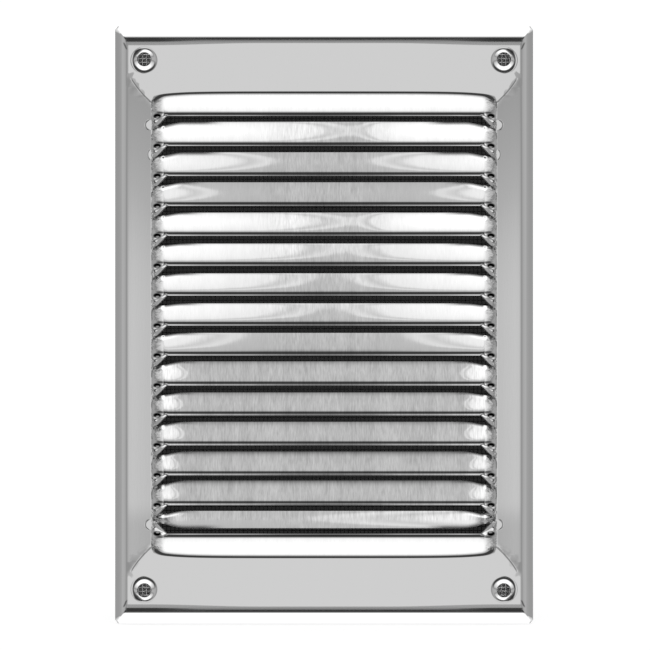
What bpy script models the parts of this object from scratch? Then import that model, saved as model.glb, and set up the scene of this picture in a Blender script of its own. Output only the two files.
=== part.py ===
"""Louvred ventilation plate for a boat: a pressed sheet-steel plate with sixteen louvre blades,
an insect screen behind it, four retaining strips that hold the screen and four strips of foam seal.

Frame: the plate stands upright, X across it, Z up it, and its polished front faces -Y.
Heights h below are measured outwards from the flat front of the plate, so y = FRONT_Y - h.
Units are metres.
"""

import math

import bmesh
import bpy
from mathutils import Matrix, Vector

MM = 0.001

# Driving dimensions ---------------------------------------------------------------------------
WIDTH = 140.0 * MM  # over the folded rim
HEIGHT = 200.0 * MM
SHEET = 0.8 * MM  # plate thickness
FRONT_Y = -1.8 * MM  # the flat front of the plate, with the whole assembly centred on y = 0

RIM_RUN = 3.4 * MM  # how far the folded rim reaches sideways past its bend
RIM_DROP = 4.7 * MM  # how far it reaches back
BEND = 0.7 * MM  # width of the bend itself
CORNER_CLIP = 1.0 * MM  # the rim is nipped in at each corner

FIELD_TOP = 77.9 * MM  # bend line at the top of the first blade, and mirrored at the bottom
FIELD_SIDE = 57.6 * MM  # where the blade ends run out into the plate
SLIT_SIDE = 56.0 * MM  # ends of the slits
FIRST_LIP = 69.5 * MM
PITCH = 9.97 * MM
BLADES = 16
LIP_LIFT = 3.4 * MM  # how far a pressed lip stands above the line it was slit along
LIP_OUT = 2.1 * MM  # how far it stands out of the plate
TUCK_LIFT = 1.3 * MM  # the same for the tucked upper edge of the next blade
TUCK_IN = 0.1 * MM
END_RISE = 0.9 * MM  # height of the closed, rounded blade ends at the slit ends
SLIT_END_OUT = 0.25 * MM
NARROW_OUT = 1.3 * MM  # how far out the narrow blade above the last slit reaches

HOLE_X, HOLE_Z = 60.0 * MM, 88.6 * MM  # fixing holes
HOLE_R = 2.2 * MM
DIMPLE_R = 4.2 * MM
DIMPLE_DEPTH = 1.6 * MM

SCREEN_AT, SCREEN_T = 2.9 * MM, 0.4 * MM  # depth of the front of each layer behind the plate's front
SCREEN_HALF = (67.2 * MM, 97.2 * MM)
STRIP_AT, STRIP_T, STRIP_IN = 3.6 * MM, 0.6 * MM, 63.3 * MM
STRIP_OUT = 67.7 * MM
FOAM_AT, FOAM_T = 4.5 * MM, 1.2 * MM
FOAM_IN, FOAM_OUT = 57.0 * MM, 68.2 * MM  # wide enough to seal behind the fixing holes too
END_GAP = 0.3 * MM
STRIP_W = STRIP_OUT - STRIP_IN
RING_SIDES = 24


def clear_scene():
    for obj in list(bpy.data.objects):
        bpy.data.objects.remove(obj, do_unlink=True)


def material(name, color, roughness, metallic):
    made = bpy.data.materials.new(name)
    made.use_nodes = True
    shader = made.node_tree.nodes["Principled BSDF"]
    shader.inputs["Base Color"].default_value = (*color, 1.0)
    shader.inputs["Roughness"].default_value = roughness
    shader.inputs["Metallic"].default_value = metallic
    return made


def ease(a):
    a = min(max(a, 0.0), 1.0)
    return a * a * (3.0 - 2.0 * a)


def slits():
    """Each slit as (its height on the flat sheet, the direction its lip is lifted in)."""
    lips = [FIRST_LIP - PITCH * k for k in range(BLADES - 2)]
    return [(z - LIP_LIFT, 1.0) for z in lips] + [(-FIRST_LIP + LIP_LIFT, -1.0)]


SLITS = slits()


def edge_of(x, slit, kind):
    """(z, h) of a blade's edge at x: a lip that stands out, or an edge that is tucked in behind it."""
    at, lift = slit
    inside = SLIT_SIDE - abs(x)
    run_out = SLIT_END_OUT * ease((FIELD_SIDE - abs(x)) / (FIELD_SIDE - SLIT_SIDE))
    if kind == "lip":
        f = ease(inside / (3.0 * MM))
        return at + lift * LIP_LIFT * f, run_out + (LIP_OUT - run_out) * f
    f = ease(inside / (7.7 * MM))
    end = -TUCK_IN if lift > 0 else NARROW_OUT
    return at + lift * TUCK_LIFT * f, run_out + (end - run_out) * f


def blade_edges(x, blade):
    """The top and bottom edges of one blade at x, each as (z, h)."""
    if blade == 0:
        top = (FIELD_TOP, 0.0)
    else:
        top = edge_of(x, SLITS[blade - 1], "tuck" if SLITS[blade - 1][1] > 0 else "lip")
    if blade == BLADES - 1:
        return top, (-FIELD_TOP, 0.0)
    return top, edge_of(x, SLITS[blade], "lip" if SLITS[blade][1] > 0 else "tuck")


def blade_point(x, blade, t):
    """(z, h) on a blade, t running from its top edge to its bottom edge."""
    (z0, h0), (z1, h1) = blade_edges(x, blade)
    rise = 1.0 - ease((SLIT_SIDE - abs(x)) / (3.5 * MM))
    run_out = ease((FIELD_SIDE - abs(x)) / (FIELD_SIDE - SLIT_SIDE))
    bump = END_RISE * rise * run_out * math.sin(math.pi * t) ** 0.7 if 0.0 < t < 1.0 else 0.0
    if blade == BLADES - 2:
        bump *= 0.6
    return z0 + (z1 - z0) * t, h0 + (h1 - h0) * t + bump


def columns():
    right = [48.3, 51.3, 53.0, 54.5, 56.0, 57.6, 65.0]
    right = [v * MM for v in right]
    half = WIDTH / 2
    right += [half - RIM_RUN - BEND, half - RIM_RUN, half]
    return [-v for v in reversed(right)] + [0.0] + right


def rows():
    """Each grid row from the top down as (flat z, blade or None, t). A slit is one row, which is split later."""
    half = HEIGHT / 2
    top = [half, half - RIM_RUN, half - RIM_RUN - BEND, 93.4 * MM, 83.8 * MM]
    made = [(z, None, 0.0) for z in top]
    for blade in range(BLADES):
        made += [(None, blade, t) for t in (0.0, 0.25, 0.75)]
    made.append((-FIELD_TOP, None, 0.0))
    return made + [(-z, None, 0.0) for z in reversed(top)]


def rim_height(x, z):
    """How far the rim has dropped back at x, z."""
    over = max(abs(x) - (WIDTH / 2 - RIM_RUN), abs(z) - (HEIGHT / 2 - RIM_RUN))
    flat = max(abs(x) - (WIDTH / 2 - RIM_RUN - BEND), abs(z) - (HEIGHT / 2 - RIM_RUN - BEND))
    if over > -1e-7:
        return -0.35 * MM - (RIM_DROP - 0.35 * MM) * over / RIM_RUN
    return -0.35 * MM * max(flat, 0.0) / BEND


def ring(bm, at, radius, h):
    turn = Matrix.Rotation(math.pi / 2, 4, "X")
    move = Matrix.Translation(Vector((at[0], FRONT_Y - h, at[1])))
    return bmesh.ops.create_circle(
        bm, cap_ends=False, segments=RING_SIDES, radius=radius, matrix=move @ turn
    )["verts"]


def loft(bm, at, outer, inner):
    """Joins two closed loops of points round a hole, which may have unlike shapes and counts."""

    def turn(v):
        return math.atan2(v.co.z - at[1], v.co.x - at[0])

    outer, inner = sorted(outer, key=turn), sorted(inner, key=turn)
    i = j = 0
    while i < len(outer) or j < len(inner):
        a, b = outer[i % len(outer)], inner[j % len(inner)]
        next_a = turn(outer[i]) if i < len(outer) else math.inf
        next_b = turn(inner[j]) if j < len(inner) else math.inf
        if i == len(outer) or (j < len(inner) and next_b <= next_a):
            bm.faces.new((outer[i - 1], b, inner[j - 1]))
            j += 1
        else:
            bm.faces.new((outer[i - 1], a, inner[j - 1]))
            i += 1


def faces_about(bm, at):
    """The grid faces of the window that a dimpled hole is let into."""
    centres = [(f, f.calc_center_median()) for f in bm.faces]
    return [
        f
        for f, c in centres
        if abs(c.x - at[0]) < 5.0 * MM and abs(c.z - at[1]) < 4.0 * MM
    ]


def open_about(bm, at):
    """The open edges round that window."""
    found = []
    for e in bm.edges:
        c = (e.verts[0].co + e.verts[1].co) / 2
        if e.is_boundary and abs(c.x - at[0]) < 6.0 * MM and abs(c.z - at[1]) < 5.5 * MM:
            found.append(e)
    return found


def pressed_sheet():
    """The plate's front surface, as one open sheet with its slits and dimpled holes."""
    xs, zs = columns(), rows()
    bm = bmesh.new()
    tag = bm.verts.layers.int.new("place")
    bmesh.ops.create_grid(bm, x_segments=len(xs) - 1, y_segments=len(zs) - 1, size=1.0)
    place = {}
    for v in bm.verts:
        i = round((v.co.x + 1.0) / 2.0 * (len(xs) - 1))
        j = round((1.0 - v.co.y) / 2.0 * (len(zs) - 1))
        place[v] = (i, j)
    first_row = {zs[j][1]: j for j in range(len(zs) - 1, -1, -1) if zs[j][1] is not None}
    slit_rows = {first_row[b] for b in range(1, BLADES)}
    cuts = [
        e
        for e in bm.edges
        if place[e.verts[0]][1] == place[e.verts[1]][1]
        and place[e.verts[0]][1] in slit_rows
        and max(abs(xs[place[v][0]]) for v in e.verts) < SLIT_SIDE + 1e-7
    ]
    for v, (i, j) in place.items():
        v[tag] = i * 1000 + j
    bmesh.ops.split_edges(bm, edges=cuts)
    bm.faces.ensure_lookup_table()
    for v in bm.verts:
        i, j = divmod(v[tag], 1000)
        x = xs[i]
        flat, blade, t = zs[j]
        if blade is None:
            z = flat
            h = rim_height(x, z)
        else:
            below = any(max(w[tag] % 1000 for w in f.verts) > j for f in v.link_faces)
            if t == 0.0 and j in slit_rows and not below:
                z, h = blade_point(x, blade - 1, 1.0)
            else:
                z, h = blade_point(x, blade, t)
            if abs(x) > FIELD_SIDE + 1e-7:
                h = rim_height(x, 0.0)
        v.co = Vector((x, FRONT_Y - h, z))
    for v in bm.verts:
        if abs(v.co.x) > WIDTH / 2 - 1e-6 and abs(v.co.z) > HEIGHT / 2 - 1e-6:
            v.co.x -= math.copysign(CORNER_CLIP, v.co.x)

    for side in (-1, 1):
        for end in (-1, 1):
            at = (side * HOLE_X, end * HOLE_Z)
            bmesh.ops.delete(bm, geom=faces_about(bm, at), context="FACES")
            sides = [e for e in open_about(bm, at) if e.calc_length() > 3.0 * MM]
            bmesh.ops.subdivide_edges(bm, edges=sides, cuts=5)
            window = {v for e in open_about(bm, at) for v in e.verts}
            outer = ring(bm, at, DIMPLE_R, 0.0)
            loft(bm, at, window, outer)
            inner = ring(bm, at, HOLE_R, -DIMPLE_DEPTH)
            loft(bm, at, outer, inner)
    bmesh.ops.recalc_face_normals(bm, faces=bm.faces)
    flat = min(bm.faces, key=lambda f: abs(f.calc_center_median().x) + abs(f.calc_center_median().z - 86 * MM))
    if flat.normal.y > 0:
        bmesh.ops.reverse_faces(bm, faces=bm.faces)
    return bm


def add(bm, name, finish, parts):
    mesh = bpy.data.meshes.new(name)
    bm.to_mesh(mesh)
    bm.free()
    mesh.materials.append(finish)
    obj = bpy.data.objects.new(name, mesh)
    parts.objects.link(obj)
    return obj


def slab(name, low, high, finish, parts, corner=0.0, round_off=0.0):
    """A flat strip or panel between two corners (x, z), with depth range (front, back) behind the plate's front."""
    (x0, z0, front), (x1, z1, back) = low, high
    bm = bmesh.new()
    bmesh.ops.create_cube(bm, size=1.0)
    size = Vector((x1 - x0, back - front, z1 - z0))
    centre = Vector(((x0 + x1) / 2, FRONT_Y + (front + back) / 2, (z0 + z1) / 2))
    for v in bm.verts:
        v.co = Vector(a * b for a, b in zip(v.co, size)) + centre
    if corner:
        upright = [e for e in bm.edges if abs(e.verts[0].co.y - e.verts[1].co.y) > 1e-6]
        bmesh.ops.bevel(bm, geom=upright, offset=corner, segments=1, affect="EDGES")
    obj = add(bm, name, finish, parts)
    if round_off:
        edge = obj.modifiers.new("edge", "BEVEL")
        edge.width = round_off
        edge.segments = 2
    return obj


def main():
    clear_scene()
    parts = bpy.data.collections.new("louvre_vent")
    bpy.context.scene.collection.children.link(parts)

    polished = material("polished_stainless", (0.80, 0.80, 0.80), 0.08, 1.0)
    mesh_wire = material("stainless_mesh", (0.55, 0.55, 0.54), 0.35, 1.0)
    brushed = material("brushed_stainless", (0.62, 0.62, 0.61), 0.32, 1.0)
    foam = material("grey_foam", (0.30, 0.30, 0.30), 0.9, 0.0)

    plate = add(pressed_sheet(), "louvre_plate", polished, parts)
    shell = plate.modifiers.new("sheet", "SOLIDIFY")
    shell.thickness = SHEET
    shell.offset = -1.0
    shell.use_even_offset = False

    sx, sz = SCREEN_HALF
    slab(
        "insect_screen",
        (-sx, -sz, SCREEN_AT),
        (sx, sz, SCREEN_AT + SCREEN_T),
        mesh_wire,
        parts,
        corner=1.6 * MM,
    )

    up = HEIGHT / 2 - WIDTH / 2  # the same strips lie this much further out at the top and bottom
    for name, side in (("left", -1), ("right", 1)):
        x0, x1 = sorted((side * STRIP_IN, side * STRIP_OUT))
        reach = STRIP_OUT + up - 1.5 * MM
        slab(
            f"screen_retainer_{name}",
            (x0, -reach, STRIP_AT),
            (x1, reach, STRIP_AT + STRIP_T),
            brushed,
            parts,
            round_off=0.15 * MM,
        )
        x0, x1 = sorted((side * FOAM_IN, side * FOAM_OUT))
        reach = FOAM_OUT + up - 1.8 * MM
        slab(
            f"foam_seal_{name}",
            (x0, -reach, FOAM_AT),
            (x1, reach, FOAM_AT + FOAM_T),
            foam,
            parts,
            round_off=0.25 * MM,
        )
    for name, end in (("bottom", -1), ("top", 1)):
        reach = STRIP_IN - END_GAP
        z0, z1 = sorted((end * (STRIP_IN + up), end * (STRIP_OUT + up)))
        slab(
            f"screen_retainer_{name}",
            (-reach, z0, STRIP_AT),
            (reach, z1, STRIP_AT + STRIP_T),
            brushed,
            parts,
            round_off=0.15 * MM,
        )
        z0, z1 = sorted((end * (FOAM_IN + up), end * (FOAM_OUT + up)))
        slab(
            f"foam_seal_{name}",
            (END_GAP - FOAM_IN, z0, FOAM_AT),
            (FOAM_IN - END_GAP, z1, FOAM_AT + FOAM_T),
            foam,
            parts,
            round_off=0.25 * MM,
        )


main()
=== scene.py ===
"""Looks for the louvre vent: a finely pressed, polished plate, a woven wire screen, spot-welded
retaining strips and foam seals, on a plain pale floor in soft studio light."""

import math

import bmesh
import bpy
import numpy as np
from mathutils import Matrix, Vector


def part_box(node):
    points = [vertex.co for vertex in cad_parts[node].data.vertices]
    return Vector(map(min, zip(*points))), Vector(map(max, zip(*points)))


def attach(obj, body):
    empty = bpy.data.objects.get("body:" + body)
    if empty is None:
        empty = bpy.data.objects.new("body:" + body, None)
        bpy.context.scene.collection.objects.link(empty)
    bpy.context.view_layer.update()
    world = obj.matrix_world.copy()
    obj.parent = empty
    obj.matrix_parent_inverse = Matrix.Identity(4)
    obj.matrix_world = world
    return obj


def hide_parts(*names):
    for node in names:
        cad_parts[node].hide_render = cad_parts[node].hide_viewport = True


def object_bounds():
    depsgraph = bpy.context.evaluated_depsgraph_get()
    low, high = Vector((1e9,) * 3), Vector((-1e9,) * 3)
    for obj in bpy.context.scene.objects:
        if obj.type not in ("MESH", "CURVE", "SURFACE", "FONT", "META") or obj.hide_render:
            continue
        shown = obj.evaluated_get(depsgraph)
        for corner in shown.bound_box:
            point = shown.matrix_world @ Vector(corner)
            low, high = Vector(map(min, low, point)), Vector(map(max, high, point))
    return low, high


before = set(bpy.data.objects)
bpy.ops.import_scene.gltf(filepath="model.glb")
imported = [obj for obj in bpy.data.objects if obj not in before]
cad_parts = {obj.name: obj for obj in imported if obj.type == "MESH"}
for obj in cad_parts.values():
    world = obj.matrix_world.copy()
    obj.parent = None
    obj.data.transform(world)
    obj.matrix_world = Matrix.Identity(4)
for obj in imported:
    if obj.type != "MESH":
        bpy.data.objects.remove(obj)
CAD_BOX = [list(map(float, corner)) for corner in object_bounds()]

MM = 0.001

# The plate's dimensions, as in the CAD model, in millimetres --------------------------------------
HALF_W, HALF_H = 70.0, 100.0
SHEET = 0.8
FRONT_Y = -1.8
CORNER_CLIP = 1.0
FIELD_TOP, FIELD_SIDE, SLIT_SIDE = 77.9, 57.6, 56.0
FIRST_LIP, PITCH, BLADES = 69.5, 9.97, 16
LIP_LIFT, LIP_OUT, TUCK_IN = 3.4, 2.1, 0.1
SLIT_END_OUT, NARROW_OUT = 0.05, 1.3
HOLE_X, HOLE_Z, HOLE_R = 60.0, 88.6, 2.2
CAMERA_AWAY = 1000.0  # from the plate, for the blades' tilts

SLITS = [(FIRST_LIP - PITCH * k - LIP_LIFT, 1.0) for k in range(BLADES - 2)]
SLITS.append((-FIRST_LIP + LIP_LIFT, -1.0))
# How far below each lip the next blade starts: hand-set presses never open every slot alike.
OPENINGS = [1.85, 2.05, 2.08, 2.2, 2.55, 2.5, 2.55, 2.42, 1.95, 2.35, 2.15, 2.1, 1.8, 1.95, 1.85]


PADS = [(66.65, 1.95), (56.8, 1.1), (-66.65, 1.95)]  # flat pads by the slits' ends: height up the plate, reach


def ease(a):
    a = min(max(a, 0.0), 1.0)
    return a * a * (3.0 - 2.0 * a)


def soft_max(a, b, width):
    m = max(a, b)
    return m + width * math.log(math.exp((a - m) / width) + math.exp((b - m) / width))


# ---------------------------------------------------------------------------------------------
# Plate surface
# ---------------------------------------------------------------------------------------------

# Pressed blades are never quite flat: each one turns up a little more towards its ends than in its
# middle. For each blade: where the turn-up starts on the left and on the right, how fast it grows
# on each side (degrees per 10 mm), where down the face it is strongest, and how much it fades there.
TWIST = [
    (70, -70, 1.0, 1.0, 0.4, 6),
    (8.6, 11.5, 0.95, 2.6, 0.38, 7),
    (-17.4, 17, 0.75, 0.8, 0.38, 7),
    (-36.7, 37.3, 0.9, 0.9, 0.45, 8),
    (8.6, 12.5, 0.75, 2.6, 0.38, 7),
    (4, 9.3, 0.7, 0.9, 0.1, 1.8),
    (-4, 9.3, 0.7, 0.9, 0.05, 1.8),
    (-2.4, 7, 0.7, 0.9, 0.05, 1.8),
    (-28, 28.6, 0.7, 0.7, 0.0, 1.8),
    (-45.7, 45.6, 5.0, 5.0, 0.5, 12),
    (-47.2, 46.8, 6.0, 6.0, 0.5, 12),
    (-46.8, 46.8, 6.0, 6.0, 0.5, 12),
    (-48.7, 48.7, 8.0, 8.0, 0.55, 12),
    (-48.7, 48.7, 8.0, 8.0, 0.55, 12),
    (-50, 0, 0.25, 0.25, 0.45, 4),
    (70, -70, 1.0, 1.0, 0.4, 6),
]
TURN_AT = 34.2  # degrees of reflection at which a blade's face turns from grey to bright


def blade_tilt(x, blade, t, z, run):
    """The face's tilt in radians at x and t, before it rolls over at the lip."""
    left, right, grow_left, grow_right, at, fade = TWIST[blade]
    lift = soft_max(0.2 * grow_left * (left - x), 0.2 * grow_right * (x - right), 0.35)
    if left > right:
        lift = 9.0
    lift = 6.0 * math.tanh(lift / 6.0) if lift > 0 else 1.2 * math.tanh(lift / 1.2)
    lift -= 2 * fade * (t - at) ** 2
    if 5 <= blade <= 8:  # these flatten out towards the lip
        lift -= 4.0 * ease((t - 0.6) / 0.34)
    if blade and lift > 0:  # the top edge stays a little flatter
        lift *= ease(t * run / 0.55)
    return math.radians((TURN_AT + lift - math.degrees(math.atan2(z, CAMERA_AWAY))) / 2)


def stepped(v, points):
    """A value that runs straight from point to point, and goes on straight past the last one."""
    for (a, p), (b, q) in zip(points, points[1:]):
        if v <= b or (b, q) == points[-1]:
            return p + (q - p) * (v - a) / (b - a)


def lip_z(blade):
    return FIRST_LIP - PITCH * blade if blade < BLADES - 1 else -FIELD_TOP


def crown_z(x):
    """The first blade's bend line, which drops towards its ends."""
    return FIELD_TOP - 1.15 * math.exp(-max(0.0, 56.0 - abs(x)) / 7.0)


def top_z(blade):
    return FIELD_TOP if blade == 0 else lip_z(blade - 1) - OPENINGS[blade - 1]


LAST_EDGE = -FIRST_LIP + OPENINGS[-1]
STEPS = 60
PROFILES = {}


def profile(x, blade):
    """The blade's height at even steps down its face at x, from its top edge to its lip."""
    key = (round(abs(x), 4) if TWIST[blade][0] > TWIST[blade][1] else round(x, 4), blade)
    if key not in PROFILES:
        z0 = crown_z(x) if blade == 0 else top_z(blade)
        z1 = LAST_EDGE if blade == BLADES - 2 else lip_z(blade)
        run = z0 - z1
        hs = [0.0]
        for k in range(STEPS):
            t = (k + 0.5) / STEPS
            z = z0 - run * t
            tilt = blade_tilt(x, blade, t, z, run)
            if blade == 0:
                into = t * run / (1.0 + 0.35 * math.exp(-(56.0 - abs(x)) / 6.0))
                bent = stepped(into, [(0.0, 0.0), (0.12, 3.0), (0.78, 9.6), (1.0, 18.0)])
                tilt = min(tilt, math.radians(bent))
            if blade != BLADES - 2:
                left = (1 - t) * run  # to the lip
                rolled = stepped(left, [(0.0, -7.0), (0.28, 3.0), (1.12, 9.8), (1.36, 15.8), (1.9, 18.2), (2.6, 22.0)])
                tilt = min(tilt, math.radians(rolled))
            hs.append(hs[-1] + math.tan(tilt) * run / STEPS)
        shift = 0.0 if blade == 0 else LIP_OUT - hs[-1]
        if blade == BLADES - 2:
            shift = -TUCK_IN
        PROFILES[key] = (z0, run, [h + shift for h in hs])
    return PROFILES[key]


def face_height(x, blade, z):
    z0, run, hs = profile(x, blade)
    t = min(max((z0 - z) / run, 0.0), 1.0) * STEPS
    k = min(int(t), STEPS - 1)
    return hs[k] + (hs[k + 1] - hs[k]) * (t - k)


def rise(x, z):
    """The blade's closed, rounded end: 0 where it meets the plate, 1 where the face is full."""
    pad = max(ease(1.5 * (1.0 - abs(z - at) / 1.9)) * min(reach, 1.7) for at, reach in PADS)
    between = abs((z - SLITS[0][0]) / PITCH % 1.0 - 0.5) * 2.0  # 0 in mid-blade, 1 at a slit
    a = (FIELD_SIDE - 0.3 - 0.45 * between**2 - pad - abs(x)) / 4.1
    a = min(max(a, 0.0), 1.0)
    return 1.0 - (1.0 - a) ** 1.45


def run_out(x):
    return SLIT_END_OUT * ease((FIELD_SIDE - abs(x)) / (FIELD_SIDE - SLIT_SIDE))


def lip_edge(x, slit, blade):
    at = SLITS[slit][0]
    f = min(1.0, max(0.0, (SLIT_SIDE - abs(x)) / 3.7))
    f = 0.7 * f + 0.3 * ease(f)
    z = at + LIP_LIFT * f
    return z, run_out(x) + (face_height(x, blade, lip_z(blade)) - run_out(x)) * f


def tuck_edge(x, slit, blade):
    at, lift = SLITS[slit]
    f = ease((SLIT_SIDE - abs(x)) / 9.5)
    end = LAST_EDGE if lift < 0 else top_z(blade)
    return at + (end - at) * f, run_out(x) + (face_height(x, blade, end) - run_out(x)) * f


def blade_point(x, blade, t):
    """(z, h) on a blade at x, with t running from its top edge to its bottom edge."""
    if blade == BLADES - 1:  # the last one is the first one turned over
        z, h = blade_point(x, 0, 1.0 - t)
        return -z, h
    zt, ht = (crown_z(x), 0.0) if blade == 0 else tuck_edge(x, blade - 1, blade)
    zb, hb = tuck_edge(x, blade, blade) if blade == BLADES - 2 else lip_edge(x, blade, blade)
    z = zt + (zb - zt) * t
    level = LAST_EDGE if blade == BLADES - 2 else lip_z(blade)
    body = face_height(x, blade, max(z, level)) * rise(x, z)
    if blade == BLADES - 2:
        body *= 0.4 + 0.6 * ease((SLIT_SIDE - abs(x)) / 6.0)
    # Meet the top edge.
    fade = 1.0 - ease((zt - z) / 1.1)
    if blade and fade > 0:
        body += (ht - face_height(x, blade, zt) * rise(x, zt)) * fade
    # Under the lip's level, next to the slit's end, the closed end drops to a narrow web of metal.
    if zb < level - 1e-6:
        s = (level - z) / (level - zb)
        if s > 0:
            body += (hb - body) * ease(s / 0.42)
        if t == 1.0:
            body = hb
    elif t == 1.0:
        body = hb
    if t == 0.0:
        body = ht
    return z, body


class Rim:
    """A folded rim, bent over three stretches: barely, then steadily, then fast to its final slope."""

    def __init__(self, start, soft, steady, fast, soft_tilt, steady_tilt, tilt):
        self.start, self.ends = start, (soft, soft + steady, soft + steady + fast)
        self.drops, step = [0.0], 0.02
        for k in range(400):
            d = (k + 0.5) * step
            if d < soft:
                now = soft_tilt * (d / soft) ** 1.6
            elif d < soft + steady:
                now = soft_tilt + (steady_tilt - soft_tilt) * (d - soft) / steady
            else:
                now = steady_tilt + (tilt - steady_tilt) * min(1.0, (d - soft - steady) / fast)
            self.drops.append(self.drops[-1] + math.tan(math.radians(now)) * step)

    def drop(self, inward):
        """How far the rim has dropped back, this far in from the outline."""
        d = self.start - inward
        if d <= 0:
            return 0.0
        k = min(int(d / 0.02), len(self.drops) - 2)
        return self.drops[k] + (self.drops[k + 1] - self.drops[k]) * (d / 0.02 - k)

    def lines(self, half, tail):
        """Where to cut the sheet across this rim, from its start outwards."""
        flat = half - self.start
        a, b, c = (flat + v for v in self.ends)
        return spaced(flat, a, 0.3) + spaced(a, b, 0.2) + spaced(b, c, 0.26) + [c, c + tail, half]


END_RIM = Rim(6.65, 1.7, 1.15, 1.4, 2.3, 14.8, 52.4)
SIDE_RIM = Rim(4.9, 0.9, 0.7, 1.1, 2.3, 14.0, 59.5)


def dish_table():
    """The dimple's height at even steps of radius, worked inwards from its faint raised ring."""
    slopes = [(2.2, 78.0), (2.3, 60.0), (2.42, 33.0), (3.2, 31.0), (3.5, 15.0), (3.9, 6.0), (4.2, 2.0)]
    slopes += [(4.38, 0.0), (4.48, -1.4), (4.62, -1.4), (4.75, 0.0), (9.0, 0.0)]
    step = 0.01
    count = int(round((6.2 - 2.2) / step))
    hs = [0.0] * (count + 1)
    for k in range(count - 1, -1, -1):
        slope = stepped(2.2 + (k + 0.5) * step, slopes)
        hs[k] = hs[k + 1] - math.tan(math.radians(slope)) * step
    return hs


DISH = dish_table()
DISH_RINGS = (4.85, 4.72, 4.6, 4.48, 4.38, 4.28, 4.18, 4.08, 3.96, 3.84, 3.72, 3.6, 3.5, 3.4, 3.28, 3.16, 2.9, 2.6, 2.42)
DISH_RINGS += (2.35, 2.28, 2.2)


def dish(r):
    if r >= 6.2:
        return 0.0
    k = (max(r, 2.2) - 2.2) / 0.01
    i = min(int(k), len(DISH) - 2)
    return DISH[i] + (DISH[i + 1] - DISH[i]) * (k - i)


def dish_centre(r):
    """The dimple sits a little off its hole, towards the middle of the plate."""
    f = min(1.0, max(0.0, (r - 2.3) / 2.0))
    return -0.15 * f, -0.42 * f


def plate_height(x, z):
    """Height of the flat frame round the blades, with the rim and the shallow marks of the press."""
    ax, az = abs(x), abs(z)
    h = -max(SIDE_RIM.drop(HALF_W - ax), END_RIM.drop(HALF_H - az))
    # The side strips lean out slightly, and meet the end strips on a diagonal.
    side = ease((73.6 + 1.02 * (ax - 58.0) - az) / 1.2 + 0.5)
    if ax > FIELD_SIDE:
        d = ax - FIELD_SIDE
        h -= (0.0208 * d - 0.00047 * d * d) * side
    return h


def spaced(a, b, step):
    n = max(1, round(abs(b - a) / step))
    return [a + (b - a) * k / n for k in range(n)]


def columns():
    right = spaced(0.0, 45.0, 3.75)[1:] + spaced(45.0, 50.4, 1.35) + spaced(50.4, SLIT_SIDE, 0.46)
    right += spaced(SLIT_SIDE, FIELD_SIDE, 0.27) + spaced(FIELD_SIDE, 60.0, 0.4)
    right += spaced(60.0, HALF_W - SIDE_RIM.start, 1.3) + SIDE_RIM.lines(HALF_W, 1.0)
    return [-v for v in reversed(right)] + [0.0] + right


BLADE_T = [0.0, 0.025, 0.06, 0.105, 0.16, 0.23, 0.31, 0.4, 0.5, 0.6, 0.69, 0.76]
BLADE_T += [0.81, 0.845, 0.875, 0.9, 0.925, 0.95, 0.97, 0.985]


def rows():
    top = END_RIM.lines(HALF_H, 1.2)[::-1] + spaced(HALF_H - END_RIM.start, 79.4, 1.5)[1:]
    top += [79.4, 78.9, 78.4]
    made = [(z, None, 0.0) for z in top]
    for blade in range(BLADES):
        ts = BLADE_T if blade < BLADES - 1 else [0.0] + [1 - t for t in reversed(BLADE_T[1:])]
        made += [(None, blade, t) for t in ts]
    made.append((None, BLADES - 1, 1.0))
    return made + [(-z, None, 0.0) for z in reversed(top)]


def ring(bm, at, radius, h, sides):
    turn = Matrix.Rotation(math.pi / 2, 4, "X")
    cx, cz = dish_centre(radius)
    centre = (at[0] + math.copysign(1, at[0]) * cx, FRONT_Y - h, at[1] + math.copysign(1, at[1]) * cz)
    move = Matrix.Translation(Vector(centre) * MM)
    return bmesh.ops.create_circle(
        bm, cap_ends=False, segments=sides, radius=radius * MM, matrix=move @ turn
    )["verts"]


def loft(bm, at, outer, inner):
    def turn(v):
        return math.atan2(v.co.z - at[1] * MM, v.co.x - at[0] * MM)

    outer, inner = sorted(outer, key=turn), sorted(inner, key=turn)
    i = j = 0
    while i < len(outer) or j < len(inner):
        next_a = turn(outer[i]) if i < len(outer) else math.inf
        next_b = turn(inner[j]) if j < len(inner) else math.inf
        if i == len(outer) or (j < len(inner) and next_b <= next_a):
            bm.faces.new((outer[i - 1], inner[j % len(inner)], inner[j - 1]))
            j += 1
        else:
            bm.faces.new((outer[i - 1], outer[i % len(outer)], inner[j - 1]))
            i += 1


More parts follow.
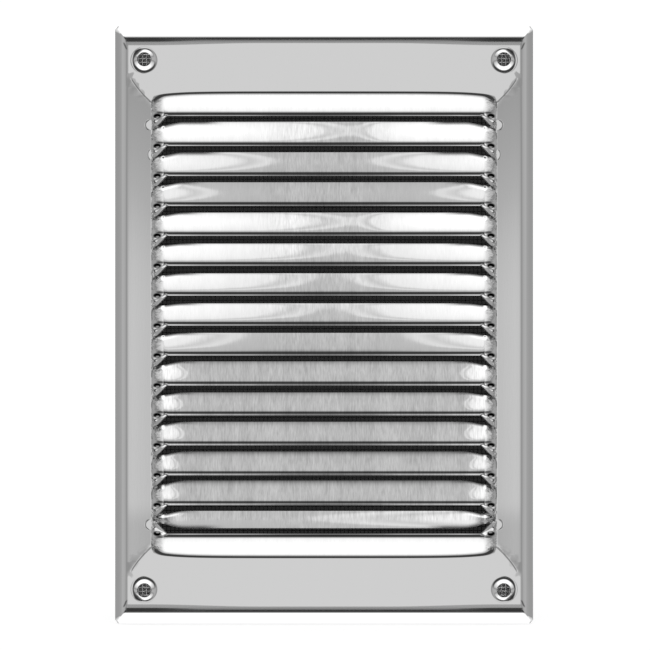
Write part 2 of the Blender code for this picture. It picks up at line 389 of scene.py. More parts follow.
def pressed_sheet():
    xs, zs = columns(), rows()
    bm = bmesh.new()
    tag = bm.verts.layers.int.new("place")
    bmesh.ops.create_grid(bm, x_segments=len(xs) - 1, y_segments=len(zs) - 1, size=1.0)
    for v in bm.verts:
        i = round((v.co.x + 1.0) / 2.0 * (len(xs) - 1))
        j = round((1.0 - v.co.y) / 2.0 * (len(zs) - 1))
        v[tag] = i * 1000 + j
    first_row = {}
    for j, (_, blade, _) in enumerate(zs):
        if blade is not None:
            first_row.setdefault(blade, j)
    slit_rows = {first_row[b] for b in range(1, BLADES)}
    cuts = [
        e
        for e in bm.edges
        if e.verts[0][tag] % 1000 == e.verts[1][tag] % 1000
        and e.verts[0][tag] % 1000 in slit_rows
        and max(abs(xs[v[tag] // 1000]) for v in e.verts) < SLIT_SIDE + 1e-4
    ]
    bmesh.ops.split_edges(bm, edges=cuts)
    for v in bm.verts:
        i, j = divmod(v[tag], 1000)
        x = xs[i]
        flat, blade, t = zs[j]
        if blade is None:
            z, h = flat, plate_height(x, flat)
        else:
            below = any(w[tag] % 1000 > j for f in v.link_faces for w in f.verts)
            if t == 0.0 and j in slit_rows and not below:
                z, h = blade_point(x, blade - 1, 1.0)
            else:
                z, h = blade_point(x, blade, t)
            if abs(x) > FIELD_SIDE - 1e-4:
                h = plate_height(x, z)
        if abs(x) > HALF_W - 1e-4 and abs(z) > HALF_H - 1e-4:
            x -= math.copysign(CORNER_CLIP, x)
        v.co = Vector((x, FRONT_Y - h, z)) * MM

    for side in (-1, 1):
        for end in (-1, 1):
            at = (side * HOLE_X, end * HOLE_Z)
            gone = []
            for f in bm.faces:
                c = f.calc_center_median() / MM
                if abs(abs(c.x) - HOLE_X + 0.1) < 5.2 and abs(abs(c.z) - HOLE_Z + 0.3) < 5.2 and c.x * side > 0 and c.z * end > 0:
                    gone.append(f)
            bmesh.ops.delete(bm, geom=gone, context="FACES")
            window = set()
            for e in bm.edges:
                c = (e.verts[0].co + e.verts[1].co) / 2 / MM
                if e.is_boundary and abs(c.x - at[0]) < 6.3 and abs(c.z - at[1]) < 6.4:
                    window |= set(e.verts)
            last = list(window)
            for r in DISH_RINGS:
                now = ring(bm, at, r, dish(r), 48)
                loft(bm, at, last, now)
                last = now
    bmesh.ops.recalc_face_normals(bm, faces=bm.faces)
    up = min(bm.faces, key=lambda f: (f.calc_center_median() / MM - Vector((0, FRONT_Y, 86))).length)
    if up.normal.y > 0:
        bmesh.ops.reverse_faces(bm, faces=bm.faces)
    for f in bm.faces:
        f.smooth = True
    return bm


def new_object(name, bm_or_mesh, materials, body="root"):
    if isinstance(bm_or_mesh, bmesh.types.BMesh):
        mesh = bpy.data.meshes.new(name)
        bm_or_mesh.to_mesh(mesh)
        bm_or_mesh.free()
    else:
        mesh = bm_or_mesh
    for m in materials:
        mesh.materials.append(m)
    obj = bpy.data.objects.new(name, mesh)
    bpy.context.scene.collection.objects.link(obj)
    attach(obj, body)
    return obj


# ---------------------------------------------------------------------------------------------
# Materials
# ---------------------------------------------------------------------------------------------


class Nodes:
    """A short way to wire a node tree."""

    def __init__(self, tree):
        self.tree = tree

    def add(self, kind, **settings):
        node = self.tree.nodes.new(kind)
        for key, value in settings.items():
            setattr(node, key, value)
        return node

    def put(self, socket, value):
        if isinstance(value, bpy.types.NodeSocket):
            self.tree.links.new(value, socket)
        else:
            socket.default_value = value

    def math(self, op, a, b=0.0, c=0.0, clamp=False):
        node = self.add("ShaderNodeMath", operation=op, use_clamp=clamp)
        for socket, value in zip(node.inputs, (a, b, c)):
            self.put(socket, value)
        return node.outputs[0]

    def smooth(self, value, low, high, to_low=0.0, to_high=1.0):
        node = self.add("ShaderNodeMapRange", interpolation_type="SMOOTHSTEP")
        self.put(node.inputs["Value"], value)
        node.inputs["From Min"].default_value = low
        node.inputs["From Max"].default_value = high
        self.put(node.inputs["To Min"], to_low)
        self.put(node.inputs["To Max"], to_high)
        return node.outputs["Result"]

    def mix(self, factor, a, b):
        """a where factor is 0, b where it is 1, as plain values."""
        node = self.add("ShaderNodeMix", data_type="FLOAT")
        self.put(node.inputs["Factor"], factor)
        self.put(node.inputs["A"], a)
        self.put(node.inputs["B"], b)
        return node.outputs["Result"]

    def ramp(self, value, stops, mode="LINEAR"):
        """Piecewise values over 0 to 1, as (position, value)."""
        node = self.add("ShaderNodeValToRGB")
        node.color_ramp.interpolation = mode
        elements = node.color_ramp.elements
        while len(elements) < len(stops):
            elements.new(0.5)
        for element, (at, v) in zip(elements, stops):
            element.position = at
        for element, (at, v) in zip(elements, stops):
            element.color = (v, v, v, 1.0)
        self.put(node.inputs["Fac"], value)
        return node.outputs["Color"]

    def noise(self, vector, scale, detail=2.0, roughness=0.5, stretch=None):
        if stretch:
            mapping = self.add("ShaderNodeMapping")
            self.put(mapping.inputs["Vector"], vector)
            mapping.inputs["Scale"].default_value = stretch
            vector = mapping.outputs["Vector"]
        node = self.add("ShaderNodeTexNoise")
        self.put(node.inputs["Vector"], vector)
        node.inputs["Scale"].default_value = scale
        node.inputs["Detail"].default_value = detail
        node.inputs["Roughness"].default_value = roughness
        return node.outputs["Fac"]

    def bump(self, height, strength, distance, normal=None):
        node = self.add("ShaderNodeBump")
        node.inputs["Strength"].default_value = strength
        node.inputs["Distance"].default_value = distance
        self.put(node.inputs["Height"], height)
        if normal is not None:
            self.put(node.inputs["Normal"], normal)
        return node.outputs["Normal"]

    def grey(self, value):
        node = self.add("ShaderNodeCombineColor")
        for socket in node.inputs:
            self.put(socket, value)
        return node.outputs[0]


def blank_material(name):
    made = bpy.data.materials.new(name)
    made.use_nodes = True
    n = Nodes(made.node_tree)
    shader = made.node_tree.nodes["Principled BSDF"]
    place = n.add("ShaderNodeTexCoord").outputs["Object"]
    return made, n, shader, place


def polished():
    """Mirror-polished stainless steel: a fine upright grain on the drawn blades, painted shade in the slits' ends,
    round the dimples and at the foot of the folded ends, and a pressed crease at each corner, darkened with painted
    shade.
    """
    made, n, shader, place = blank_material("polished_stainless_detail")
    split = n.add("ShaderNodeSeparateXYZ")
    n.put(split.inputs[0], place)
    x = n.math("MULTIPLY", n.math("ABSOLUTE", split.outputs[0]), 1000.0)
    z = n.math("MULTIPLY", split.outputs[2], 1000.0)
    az = n.math("ABSOLUTE", z)
    field = n.math("MULTIPLY", n.smooth(x, 54.0, 56.5, 1.0, 0.0), n.smooth(az, 77.0, 77.8, 1.0, 0.0))

    grain = n.noise(place, 1.0, 3.0, 0.6, stretch=(2100.0, 300.0, 300.0))
    broad = n.noise(place, 1.0, 2.0, 0.5, stretch=(260.0, 60.0, 16.0))
    cloud = n.noise(place, 55.0, 3.0, 0.55)
    streak = n.math("ADD", n.math("MULTIPLY_ADD", grain, 1.7, -0.85), n.math("MULTIPLY_ADD", broad, 0.75, -0.375))
    streak = n.math("MULTIPLY", streak, n.math("MULTIPLY_ADD", field, 0.95, 0.05))
    # The grain shows least on the outer stretches of the upper blades, which are polished brightest.
    buffed = n.math("MAXIMUM", n.smooth(z, -12.0, -9.0), n.smooth(az, 64.8, 65.3))
    middle = n.math("MULTIPLY", n.smooth(x, 9.0, 26.0, 1.0, 0.0), n.math("LESS_THAN", az, 69.0))
    grained = n.mix(buffed, 0.42, n.math("MULTIPLY_ADD", middle, 0.28, 0.09))
    tone = n.math("MULTIPLY_ADD", streak, grained, 0.83)

    # Distance below the nearest slit's lip, for the slits' ends.
    turned = n.math("LESS_THAN", z, -64.6)
    zz = n.mix(turned, z, az)
    below = n.math("DIVIDE", n.math("SUBTRACT", FIRST_LIP + PITCH + 2.0, zz), PITCH)
    below = n.math("MULTIPLY_ADD", n.math("FRACT", below), PITCH, -2.0)

    def spot(at_x, at_z, rx, rz, soft=0.5):
        dx = n.math("DIVIDE", n.math("SUBTRACT", x, at_x), rx)
        dz = n.math("DIVIDE", n.math("SUBTRACT", below, at_z), rz)
        r = n.math("SQRT", n.math("ADD", n.math("MULTIPLY", dx, dx), n.math("MULTIPLY", dz, dz)))
        return n.smooth(r, 1.0 - soft, 1.0 + soft * 0.4, 1.0, 0.0)

    def most(*values):
        top = values[0]
        for v in values[1:]:
            top = n.math("MAXIMUM", top, v)
        return top

    def times(*values):
        all_of = values[0]
        for v in values[1:]:
            all_of = n.math("MULTIPLY", all_of, v)
        return all_of

    above = n.smooth(zz, 71.6, 71.9, 1.0, 0.0)  # nothing of this above the first slit
    wobble = n.noise(place, 620.0, 2.0, 0.6)
    # Painted shade in the pocket under each blade's closed end, and at the end of the rolled lip.
    hook = n.math("MULTIPLY_ADD", spot(55.45, 0.35, 0.75, 0.34, 0.6), -0.4, spot(55.6, -0.05, 1.5, 0.92, 0.35))
    tail = spot(54.6, -1.15, 1.5, 0.42, 0.6)  # the end of the rolled lip
    # The lower blade's top edge rolls in towards the slit's ends, and painted shade darkens it there.
    slot = n.math("FLOOR", n.math("DIVIDE", n.math("SUBTRACT", FIRST_LIP + PITCH + 2.0, zz), PITCH))
    widths = [(0.0, OPENINGS[0])] + [((k + 1) / 17.0, v) for k, v in enumerate(OPENINGS)]
    opening = n.ramp(n.math("MULTIPLY_ADD", slot, 1 / 17.0, 0.5 / 17.0), widths, mode="CONSTANT")
    inward = n.smooth(x, 46.5, SLIT_SIDE, 1.0, 0.0)
    edge = n.math("MULTIPLY_ADD", inward, n.math("SUBTRACT", opening, LIP_LIFT), LIP_LIFT)
    past = n.math("SUBTRACT", below, edge)
    high = n.smooth(zz, 47.0, 50.0)
    soft = n.smooth(n.math("DIVIDE", past, n.math("MULTIPLY_ADD", high, 0.35, 1.15)), 0.0, 1.0, 1.0, 0.0)
    nearer = n.math("ADD", x, n.math("ADD", n.math("MULTIPLY", high, 6.5), n.math("MULTIPLY", n.smooth(zz, -14.0, -10.5), 2.0)))
    tucked = times(soft, n.smooth(nearer, 40.5, 49.5), n.smooth(x, 54.9, 55.6, 1.0, 0.0), n.math("GREATER_THAN", past, -0.25))
    tucked = times(tucked, n.math("SUBTRACT", 1.0, spot(53.7, 4.0, 0.8, 1.0, 0.6)))
    # Small dark dots of painted shade at the openings' corners.
    dots = most(spot(54.9, 3.35, 0.4, 0.42, 0.7), spot(56.8, 4.35, 0.4, 0.45, 0.8), spot(54.6, -6.6, 0.4, 0.4, 0.8))
    blade_end_shade = times(most(hook, times(tail, 0.8), times(tucked, 0.84), times(dots, 0.75)), above)
    # A broken line of painted shade, where each blade's end meets the side strip.
    rim_dx = n.math("DIVIDE", n.math("SUBTRACT", x, 55.6), 1.9)
    rim_dz = n.math("DIVIDE", n.math("SUBTRACT", below, 6.4), 3.0)
    rim_r = n.math("SQRT", n.math("ADD", n.math("MULTIPLY", rim_dx, rim_dx), n.math("MULTIPLY", rim_dz, rim_dz)))
    broken = times(n.smooth(n.math("ABSOLUTE", n.math("SUBTRACT", rim_r, 1.0)), 0.03, 0.13, 1.0, 0.0), n.math("GREATER_THAN", x, 56.0), n.smooth(wobble, 0.42, 0.52))
    in_field = n.smooth(az, 74.6, 75.4, 1.0, 0.0)
    blade_end_shade = most(blade_end_shade, times(broken, in_field, 0.45))

    # Painted shade dims the lips' fine bright line, most in their middles.
    lip_dimming = n.ramp(n.math("DIVIDE", x, 70.0), [(0.0, 0.62), (12 / 70, 0.54), (25 / 70, 0.4), (40 / 70, 0.34), (50 / 70, 0.0)])
    lip_line_shade = times(n.smooth(n.math("ABSOLUTE", n.math("ADD", below, 0.28)), 0.3, 0.5, 1.0, 0.0), lip_dimming, in_field)

    # Painted shade: a dark crescent round the outer side of each dimple.
    hx = n.math("SUBTRACT", x, HOLE_X - 0.05)
    hz = n.math("SUBTRACT", az, HOLE_Z - 0.5)
    r = n.math("SQRT", n.math("ADD", n.math("MULTIPLY", hx, hx), n.math("MULTIPLY", hz, hz)))
    aim = n.math("MULTIPLY_ADD", n.math("ARCTAN2", hz, hx), 0.5 / math.pi, 0.5)

    def round_dimple(stops):
        return n.ramp(aim, [((a + 180.0) / 360.0, v) for a, v in stops])

    reach = round_dimple([(-180, 0.03), (-110, 0.05), (-90, 0.2), (-60, 0.42), (-40, 0.4), (-15, 0.26), (5, 0.24), (25, 0.45), (48, 0.85), (65, 0.66), (85, 0.3), (110, 0.1), (180, 0.03)])
    at_r = round_dimple([(-180, 0.83), (-110, 0.83), (-85, 0.825), (-60, 0.77), (-35, 0.75), (10, 0.735), (45, 0.745), (65, 0.75), (90, 0.76), (180, 0.76)])
    depth = round_dimple([(-180, 0.0), (-115, 0.1), (-90, 0.5), (-60, 0.8), (-40, 0.85), (-10, 0.6), (20, 0.75), (45, 0.9), (70, 0.85), (95, 0.4), (125, 0.0), (180, 0.0)])
    off_r = n.math("DIVIDE", n.math("ABSOLUTE", n.math("SUBTRACT", r, n.math("MULTIPLY", at_r, 5.0))), reach)
    dimple_shade = times(n.smooth(off_r, 0.45, 1.2, 1.0, 0.0), depth)
    # Painted shade darkens the foot of the folded ends too, more so towards the corners, paler a little lower down,
    # and in a short stroke where the side and end folds meet.
    spread = n.smooth(x, 22.0, 58.0)
    low_z = n.math("MULTIPLY_ADD", spread, 0.72, az)
    foot = times(n.smooth(low_z, 94.8, 95.3), n.smooth(az, 95.6, 95.9, 1.0, 0.0), spread, n.smooth(x, 65.6, 66.6, 1.0, 0.0))
    soft_foot_shade = times(n.smooth(low_z, 93.75, 94.1), n.smooth(az, 95.1, 95.7, 1.0, 0.0), n.smooth(x, 65.2, 66.2, 1.0, 0.0))
    fold_join_off = n.math("ADD", n.math("MULTIPLY_ADD", x, 0.909, -66.3 * 0.909), n.math("MULTIPLY_ADD", az, -0.418, 92.95 * 0.418))
    fold_join_at = n.math("ABSOLUTE", n.math("SUBTRACT", az, 92.95))
    fold_join_shade = times(n.smooth(n.math("ABSOLUTE", fold_join_off), 0.1, 0.42, 1.0, 0.0), n.smooth(fold_join_at, 0.7, 1.5, 1.0, 0.0))
    rim_and_dimple_shade = most(dimple_shade, times(foot, 0.85), times(soft_foot_shade, 0.34), times(fold_join_shade, 0.62))
    # All these marks are painted shade: they darken the colour and also roughen the steel a little.
    painted_shade = most(blade_end_shade, rim_and_dimple_shade)
    tone = n.math("MULTIPLY", tone, n.math("MULTIPLY_ADD", painted_shade, -1.0, 1.0))
    tone = n.math("MULTIPLY", tone, n.math("SUBTRACT", 1.0, lip_line_shade))
    # The blades' ends are duller and pitted where the press drew them deepest.
    capped = times(n.smooth(x, 53.4, 55.0), n.smooth(x, 57.3, 57.7, 1.0, 0.0), in_field)
    tone = n.math("MULTIPLY", tone, n.math("MULTIPLY_ADD", times(capped, wobble), -0.4, 1.0))

    # The crease that runs in from each corner, and an arc round each flat pad: bumped in, with painted shade darkening
    # the colour along them.
    off = n.math("ADD", n.math("MULTIPLY_ADD", x, 0.759, -64.4 * 0.759), n.math("MULTIPLY_ADD", az, -0.652, 81.8 * 0.652))
    along = n.math("ADD", n.math("MULTIPLY_ADD", x, -0.652, 64.4 * 0.652), n.math("MULTIPLY_ADD", az, -0.759, 81.8 * 0.759))
    bend = n.math("MULTIPLY", n.math("SUBTRACT", along, 5.2), n.math("SUBTRACT", along, 5.2))
    off = n.math("ADD", off, n.math("MULTIPLY_ADD", bend, 0.016, -0.25))
    crease = n.smooth(n.math("ABSOLUTE", off), 0.06, 0.34, 1.0, 0.0)
    crease = n.math("MULTIPLY", crease, n.math("MULTIPLY", n.smooth(along, -0.6, 0.6), n.smooth(along, 9.6, 10.8, 1.0, 0.0)))
    flat = 0.0
    for at, reach in PADS:
        dx = n.math("SUBTRACT", x, FIELD_SIDE)
        dx = n.math("DIVIDE", dx, reach / 1.75)
        dz = n.math("SUBTRACT", z, at)
        r = n.math("SQRT", n.math("ADD", n.math("MULTIPLY", dx, dx), n.math("MULTIPLY", dz, dz)))
        arc = n.smooth(n.math("ABSOLUTE", n.math("SUBTRACT", r, 1.8)), 0.04, 0.26, 1.0, 0.0)
        crease = n.math("MAXIMUM", crease, n.math("MULTIPLY", arc, n.smooth(dx, 0.5, 1.1)))
        flat = most(flat, times(n.smooth(r, 1.5, 1.8, 1.0, 0.0), n.smooth(dx, -0.3, 0.3)))
    tone = n.math("MULTIPLY", tone, n.math("MULTIPLY_ADD", crease, -0.45, 1.0))

    n.put(shader.inputs["Base Color"], n.grey(tone))
    shader.inputs["Metallic"].default_value = 1.0
    rough = n.math("MULTIPLY_ADD", grain, n.math("MULTIPLY_ADD", field, 0.012, 0.01), 0.016)
    rough = n.math("ADD", rough, n.math("MULTIPLY", painted_shade, 0.35))
    n.put(shader.inputs["Roughness"], n.math("ADD", rough, n.math("MULTIPLY_ADD", cloud, 0.02, -0.01)))
    # The grain leaves each blade's face very slightly uneven, in upright bands. The round pads
    # beside the slits' ends lie flat, and the web of metal at each end is turned up by the press.
    web_off = n.math("ADD", n.math("MULTIPLY_ADD", x, 0.565, -54.9 * 0.565), n.math("MULTIPLY_ADD", below, -0.825, 0.7 * 0.825))
    web_at = n.math("ADD", n.math("MULTIPLY_ADD", x, 0.825, -54.9 * 0.825), n.math("MULTIPLY_ADD", below, 0.565, -0.7 * 0.565))
    web = times(n.smooth(n.math("ABSOLUTE", web_off), 0.25, 0.6, 1.0, 0.0), n.smooth(n.math("ABSOLUTE", web_at), 1.4, 2.4, 1.0, 0.0), above)
    curl = times(spot(53.7, 4.0, 0.6, 0.85, 0.6), above, n.smooth(zz, -14.0, -10.5, 0.35, 1.0))
    side_of = n.math("SIGN", split.outputs[0])
    lean = n.add("ShaderNodeCombineXYZ")
    n.put(lean.inputs["X"], times(side_of, flat, -0.019))
    tip = n.math("MULTIPLY_ADD", streak, 0.0016, times(most(web, times(curl, 0.45)), 0.42))
    n.put(lean.inputs["Z"], tip)
    tipped = n.add("ShaderNodeVectorMath", operation="ADD")
    n.put(tipped.inputs[0], n.add("ShaderNodeNewGeometry").outputs["Normal"])
    n.put(tipped.inputs[1], lean.outputs[0])
    unit = n.add("ShaderNodeVectorMath", operation="NORMALIZE")
    n.put(unit.inputs[0], tipped.outputs[0])
    normal = n.bump(grain, 0.05, 0.00001, unit.outputs[0])
    normal = n.bump(n.math("MULTIPLY", crease, -1.0), 0.5, 0.00003, normal)
    normal = n.bump(times(n.math("SUBTRACT", wobble, 0.5), capped), 1.0, 0.00012, normal)
    n.put(shader.inputs["Normal"], normal)
    return made


def mill_back():
    """The unpolished back of the sheet."""
    made, n, shader, place = blank_material("mill_finish_back")
    grain = n.noise(place, 1.0, 3.0, 0.6, stretch=(1300.0, 300.0, 60.0))
    cloud = n.noise(place, 80.0, 4.0, 0.6)
    n.put(shader.inputs["Base Color"], n.grey(n.math("MULTIPLY_ADD", cloud, 0.12, 0.42)))
    shader.inputs["Metallic"].default_value = 1.0
    n.put(shader.inputs["Roughness"], n.math("MULTIPLY_ADD", grain, 0.15, 0.30))
    n.put(shader.inputs["Normal"], n.bump(grain, 0.3, 0.00002))
    return made


def cut_edge():
    """Sheared edge: dull, with the burr's fine upright marks."""
    made, n, shader, place = blank_material("sheared_edge")
    blade_end_shade = n.noise(place, 1.0, 2.0, 0.6, stretch=(2200.0, 400.0, 400.0))
    n.put(shader.inputs["Base Color"], n.grey(n.math("MULTIPLY_ADD", blade_end_shade, 0.3, 0.40)))
    shader.inputs["Metallic"].default_value = 1.0
    n.put(shader.inputs["Roughness"], n.math("MULTIPLY_ADD", blade_end_shade, 0.2, 0.30))
    n.put(shader.inputs["Normal"], n.bump(blade_end_shade, 0.5, 0.00004))
    return made


def wire():
    made, n, shader, place = blank_material("woven_wire")
    spots = n.noise(place, 900.0, 2.0, 0.5)
    stain = n.noise(place, 60.0, 3.0, 0.6)
    tone = n.math("MULTIPLY_ADD", stain, 0.16, n.math("MULTIPLY_ADD", spots, 0.10, 0.14))
    split = n.add("ShaderNodeSeparateXYZ")
    n.put(split.inputs[0], place)
    # Painted shade: the wires are much darker behind the blades, where the plate shades them, and lighter by the holes
    # outside that field.
    clear_of_blades = n.smooth(n.math("ABSOLUTE", split.outputs[0]), 0.0560, 0.0572)
    clear_of_blades = n.math("MAXIMUM", clear_of_blades, n.smooth(n.math("ABSOLUTE", split.outputs[2]), 0.0775, 0.0785))
    tone = n.math("MULTIPLY", tone, n.math("MULTIPLY_ADD", clear_of_blades, 3.6, 0.2))
    n.put(shader.inputs["Base Color"], n.grey(tone))
    shader.inputs["Metallic"].default_value = 1.0
    n.put(shader.inputs["Roughness"], n.math("MULTIPLY_ADD", spots, 0.2, 0.28))
    n.put(shader.inputs["Normal"], n.bump(spots, 0.2, 0.00003))
    return made


def brushed():
    made, n, shader, place = blank_material("brushed_strip")
    grain = n.noise(place, 1.0, 3.0, 0.65, stretch=(900.0, 900.0, 900.0))
    fine = n.noise(place, 1.0, 4.0, 0.6, stretch=(60.0, 600.0, 1600.0))
    n.put(shader.inputs["Base Color"], n.grey(n.math("MULTIPLY_ADD", grain, 0.14, 0.50)))
    shader.inputs["Metallic"].default_value = 1.0
    n.put(shader.inputs["Roughness"], n.math("MULTIPLY_ADD", fine, 0.18, 0.24))
    n.put(shader.inputs["Normal"], n.bump(fine, 0.35, 0.00003))
    return made


def foam():
    made, n, shader, place = blank_material("closed_cell_foam")
    cells = n.add("ShaderNodeTexVoronoi")
    n.put(cells.inputs["Vector"], place)
    cells.inputs["Scale"].default_value = 1700.0
    mottle = n.noise(place, 240.0, 3.0, 0.6)
    tone = n.math("MULTIPLY_ADD", cells.outputs["Distance"], 0.10, n.math("MULTIPLY_ADD", mottle, 0.25, 0.27))
    n.put(shader.inputs["Base Color"], n.grey(tone))
    n.put(shader.inputs["Roughness"], n.math("MULTIPLY_ADD", mottle, 0.2, 0.72))
    normal = n.bump(cells.outputs["Distance"], 0.7, 0.0002)
    n.put(shader.inputs["Normal"], n.bump(mottle, 0.3, 0.0002, normal))
    return made


# ---------------------------------------------------------------------------------------------
# Pieces
# ---------------------------------------------------------------------------------------------


def build_plate(materials):
    plate = new_object("polished_louvre_plate", pressed_sheet(), materials)
    shell = plate.modifiers.new("sheet", "SOLIDIFY")
    shell.thickness = SHEET * MM
    shell.offset = -1.0
    shell.use_even_offset = False
    shell.material_offset = 1
    shell.material_offset_rim = 2
    solid = bpy.data.meshes.new_from_object(plate.evaluated_get(bpy.context.evaluated_depsgraph_get()))
    solid.name = "polished_louvre_plate"
    plate.modifiers.clear()
    plate.data = solid
    solid.set_sharp_from_angle(angle=math.radians(38.0))
    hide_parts("louvre_plate")
    return plate


def build_screen(material):
    """Plain weave: round wires that pass over and under each other, cut square with clipped corners."""
    low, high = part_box("insect_screen")
    pitch, radius = 1.35 * MM, 0.23 * MM
    mid_y = (low.y + high.y) / 2
    half = {"x": high.x, "z": high.z}
    clip = 1.4 * MM
    made = []
    for name, across, along in (("warp", "x", "z"), ("weft", "z", "x")):
        n_wires = int(2 * (half[across] - radius) / pitch)
        first = -(n_wires - 1) / 2 * pitch
        n_cross = int(2 * (half[along] - radius) / pitch)
        start = -(n_cross - 1) / 2 * pitch
        sides = 5
        verts, faces = [], []
        sign0 = 1 if name == "warp" else -1
        for w in range(n_wires):
            a = first + w * pitch
            over = max(0.0, abs(a) - (half[across] - clip))
            reach = half[along] - 0.1 * MM - over
            stations = [(-reach, 0.0)]
            for c in range(n_cross):
                b = start + c * pitch
                if abs(b) > reach - 0.3 * MM:
                    continue
                stations.append((b, sign0 * (1 if (w + c) % 2 else -1) * 0.62 * radius))
            stations.append((reach, 0.0))
            base = len(verts)
            for s, (b, dy) in enumerate(stations):
                for k in range(sides):
                    turn = 2 * math.pi * (k + 0.5) / sides
                    u, v = radius * math.cos(turn), radius * math.sin(turn)
                    if name == "warp":
                        verts.append((a + u, mid_y + dy + v, b))
                    else:
                        verts.append((b, mid_y + dy + v, a + u))
            m = len(stations)
            for s in range(m - 1):
                for k in range(sides):
                    p, q = base + s * sides + k, base + s * sides + (k + 1) % sides
                    faces.append((p, q, q + sides, p + sides))
            faces.append(tuple(base + k for k in reversed(range(sides))))
            faces.append(tuple(base + (m - 1) * sides + k for k in range(sides)))
        mesh = bpy.data.meshes.new(f"screen_{name}_wires")
        mesh.from_pydata(verts, [], faces)
        mesh.validate()
        bm = bmesh.new()
        bm.from_mesh(mesh)
        bmesh.ops.recalc_face_normals(bm, faces=bm.faces)
        for f in bm.faces:
            f.smooth = len(f.verts) == 4
        bpy.data.meshes.remove(mesh)
        obj = new_object(f"screen_{name}_wires", bm, [material])
        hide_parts("insect_screen")
        made.append(obj)
    return made


def strip_grid(low, high, along, step, across_steps):
    """A closed box of quads, cut finely along its length."""
    size = high - low
    bm = bmesh.new()
    bmesh.ops.create_cube(bm, size=1.0)
    for v in bm.verts:
        v.co = Vector(l + (c + 0.5) * s for l, c, s in zip(low, v.co, size))
    other = 0 if along == 2 else 2
    long_edges = [e for e in bm.edges if abs((e.verts[0].co - e.verts[1].co)[along]) > 1e-6]
    cuts = max(1, int(size[along] / step))
    bmesh.ops.subdivide_edges(bm, edges=long_edges, cuts=cuts, use_grid_fill=True)
    wide = [
        e
        for e in bm.edges
        if abs((e.verts[0].co - e.verts[1].co)[other]) > 1e-6
        and abs((e.verts[0].co - e.verts[1].co)[along]) < 1e-9
    ]
    bmesh.ops.subdivide_edges(bm, edges=wide, cuts=across_steps, use_grid_fill=True)
    return bm


def build_strips(steel, rubber):
    for where in ("top", "bottom", "left", "right"):
        along = 0 if where in ("top", "bottom") else 2
        other = 2 - along
        low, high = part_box(f"screen_retainer_{where}")
        bm = strip_grid(low, high, along, 0.5 * MM, 8)
        mid = (low[other] + high[other]) / 2
        length = high[along] - low[along]
        n_welds = max(2, round(length / (21.0 * MM)))
        for v in bm.verts:
            for k in range(n_welds):
                at = low[along] + length * (k + 0.5) / n_welds
                r = math.hypot(v.co[along] - at, v.co[other] - mid) / (1.25 * MM)
                if r < 1 and v.co.y > (low.y + high.y) / 2:
                    v.co.y -= 0.16 * MM * (1 - r * r) ** 2
        for f in bm.faces:
            f.smooth = True
        obj = new_object(f"welded_retainer_{where}", bm, [steel])
        edge = obj.modifiers.new("edge", "BEVEL")
        edge.width, edge.segments = 0.12 * MM, 2
        edge.limit_method = "ANGLE"
        edge.angle_limit = math.radians(50)
        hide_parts(f"screen_retainer_{where}")

        low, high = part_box(f"foam_seal_{where}")
        bm = strip_grid(low, high, along, 1.0 * MM, 20)
        inner = min(abs(low[other]), abs(high[other]))
        rng = np.random.default_rng(7)
        ph = rng.uniform(0, 6.28, 6)
        for v in bm.verts:
            s = (v.co[along] - low[along]) / MM
            wave = sum(math.sin(s * f + p) for f, p in zip((0.11, 0.23, 0.41, 0.7, 1.3, 2.1), ph)) / 6
            u = (v.co[other] - (low[other] + high[other]) / 2) / ((high[other] - low[other]) / 2)
            if v.co.y > (low.y + high.y) / 2:
                v.co.y -= (0.04 + 0.03 * wave + 0.10 * u**4) * MM
            else:  # it swells out as far as the screen, between the retaining strip and the opening
                w = ((abs(v.co[other]) - inner) / MM - 3.1) / 2.9
                v.co.y -= 0.9 * MM * ease(1.6 * (1.0 - abs(w)))
            v.co[other] -= math.copysign(0.05 + 0.04 * wave, u) * MM * abs(u) ** 3
        for f in bm.faces:
            f.smooth = True
        obj = new_object(f"foam_strip_{where}", bm, [rubber])
        edge = obj.modifiers.new("edge", "BEVEL")
        edge.width, edge.segments = 0.22 * MM, 3
        edge.limit_method = "ANGLE"
        edge.angle_limit = math.radians(50)
        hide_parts(f"foam_seal_{where}")


# ---------------------------------------------------------------------------------------------
# Studio
# ---------------------------------------------------------------------------------------------


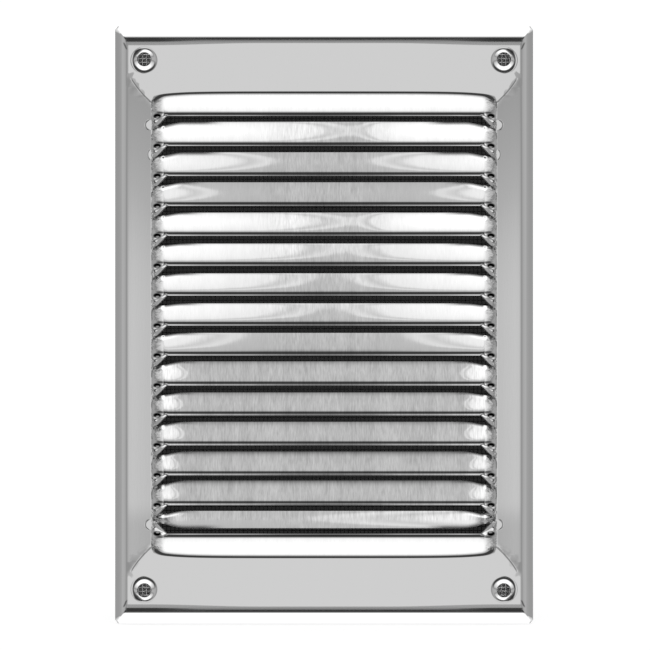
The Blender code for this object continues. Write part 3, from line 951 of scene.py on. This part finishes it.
def studio():
    """Soft light from above and below, paler walls at the sides, and a dim gap in front between them."""
    scene = bpy.context.scene
    world = bpy.data.worlds.new("studio")
    scene.world = world
    world.use_nodes = True
    tree = world.node_tree
    n = Nodes(tree)
    background = tree.nodes["Background"]
    way = n.add("ShaderNodeSeparateXYZ")
    n.put(way.inputs[0], n.add("ShaderNodeTexCoord").outputs["Generated"])
    dx, dy, dz = way.outputs
    to_deg = 180.0 / math.pi
    up = n.math("MULTIPLY", n.math("ABSOLUTE", n.math("ARCSINE", dz)), to_deg)
    turn = n.math("MULTIPLY", n.math("ABSOLUTE", n.math("ARCTAN2", dx, n.math("MULTIPLY", dy, -1.0))), to_deg)

    # By height: a grey card ahead, a dim band above it, a grey step, then the bright ceiling.
    stops = [
        (0, 0.05), (24, 0.05), (26, 0.16), (28.5, 0.42), (30.5, 0.55), (33.7, 0.61), (34.15, 0.86), (34.6, 0.88),
        (35.0, 0.70), (35.3, 0.72), (35.9, 1.0), (36.8, 1.04), (37.8, 1.12), (38.8, 1.2), (40.2, 1.42), (90, 1.42),
    ]  # fmt: skip
    by_height = n.ramp(n.math("DIVIDE", up, 90.0), [(a / 90.0, v) for a, v in stops])
    sides = n.smooth(turn, 14.0, 34.0)
    side_stops = [(0, 0.42), (8, 0.36), (13, 0.34), (17, 0.55), (24, 0.78), (34, 1.0), (40, 1.25), (90, 1.25)]
    by_side = n.ramp(n.math("DIVIDE", up, 90.0), [(a / 90.0, v) for a, v in side_stops])
    room = n.mix(sides, by_height, by_side)

    card_stops = [
        (0, 0.745), (4.95, 0.74), (5.6, 0.62), (6.5, 0.47), (7.6, 0.42), (9.5, 0.33), (12, 0.33), (16, 0.43),
        (35, 0.48), (85, 0.5), (100, 0.44), (115, 0.43), (135, 0.3), (150, 0.1), (180, 0.08),
    ]  # fmt: skip
    above = n.math("MULTIPLY", n.math("MULTIPLY", up, up), 0.14)
    corner = n.mix(n.math("LESS_THAN", dz, 0.0), above, n.smooth(up, 3.35, 3.85, 0.0, 0.75))
    corner = n.math("MULTIPLY", corner, n.smooth(turn, 3.9, 4.9))
    outward = n.math("ADD", turn, n.math("MINIMUM", corner, 2.6))
    card = n.ramp(n.math("DIVIDE", outward, 180.0), [(a / 180.0, v) for a, v in card_stops])
    near = n.smooth(up, 6.0, 11.5, 1.0, 0.0)
    room = n.mix(near, room, card)
    lens = n.math("MULTIPLY", n.smooth(turn, 1.0, 1.5, 1.0, 0.0), n.smooth(up, 1.8, 2.4, 1.0, 0.0))
    room = n.mix(lens, room, 0.06)
    back = n.math("MULTIPLY", n.smooth(turn, 125.0, 150.0), n.smooth(up, 50.0, 70.0, 1.0, 0.0))
    room = n.math("MULTIPLY", room, n.math("MULTIPLY_ADD", back, -0.8, 1.0))

    # What the camera sees directly: white, with a dark patch straight behind the vent's grille that only the camera
    # sees, painted shade in the gaps between the blades.
    back_turn = n.math("MULTIPLY", n.math("ABSOLUTE", n.math("ARCTAN2", dx, dy)), to_deg)
    shade = n.math("MULTIPLY", n.smooth(back_turn, 3.3, 3.36, 1.0, 0.0), n.smooth(up, 4.2, 4.25, 1.0, 0.0))
    shade = n.math("MULTIPLY", shade, n.math("GREATER_THAN", dy, 0.5))
    seen = n.mix(shade, 1.05, 0.02)
    final = n.mix(n.add("ShaderNodeLightPath").outputs["Is Camera Ray"], room, seen)
    n.put(background.inputs["Color"], n.grey(final))
    background.inputs["Strength"].default_value = 1.0

    floor_z = CAD_BOX[0][2] - 0.0002
    bm = bmesh.new()
    bmesh.ops.create_grid(bm, x_segments=1, y_segments=1, size=1.0)
    for v in bm.verts:  # it stops short behind, so as not to show through the grille
        v.co = Vector((v.co.x * 2.0, 0.42 if v.co.y > 0 else -2.0, floor_z))
    mesh = bpy.data.meshes.new("pale_floor")
    bm.to_mesh(mesh)
    bm.free()
    floor = bpy.data.objects.new("pale_floor", mesh)
    scene.collection.objects.link(floor)
    floor.visible_glossy = False
    made, n, shader, place = blank_material("pale_floor")
    speck = n.noise(place, 400.0, 3.0, 0.5)
    n.put(shader.inputs["Base Color"], n.grey(n.math("MULTIPLY_ADD", speck, 0.02, 0.34)))
    shader.inputs["Roughness"].default_value = 0.9
    shader.inputs["Emission Color"].default_value = (1, 1, 1, 1)
    shader.inputs["Emission Strength"].default_value = 0.72
    mesh.materials.append(made)

    scene.view_settings.view_transform = "Standard"
    scene.view_settings.look = "None"
    scene.view_settings.exposure = 0.0
    scene.view_settings.gamma = 1.0


def camera():
    data = bpy.data.cameras.new("camera")
    cam = bpy.data.objects.new("camera", data)
    bpy.context.scene.collection.objects.link(cam)
    away = CAMERA_AWAY * MM
    wide = 0.2171  # width and height of the view at the plate, in metres
    data.sensor_width = 36.0
    data.lens = 36.0 * away / wide
    data.clip_start, data.clip_end = 0.01, 50.0
    cam.location = (0.0003, -away, -0.00007)
    cam.rotation_euler = (math.pi / 2, 0.0, 0.0)
    bpy.context.scene.camera = cam


camera()
studio()
steel = polished()
build_plate([steel, mill_back(), cut_edge()])
build_screen(wire())
build_strips(brushed(), foam())
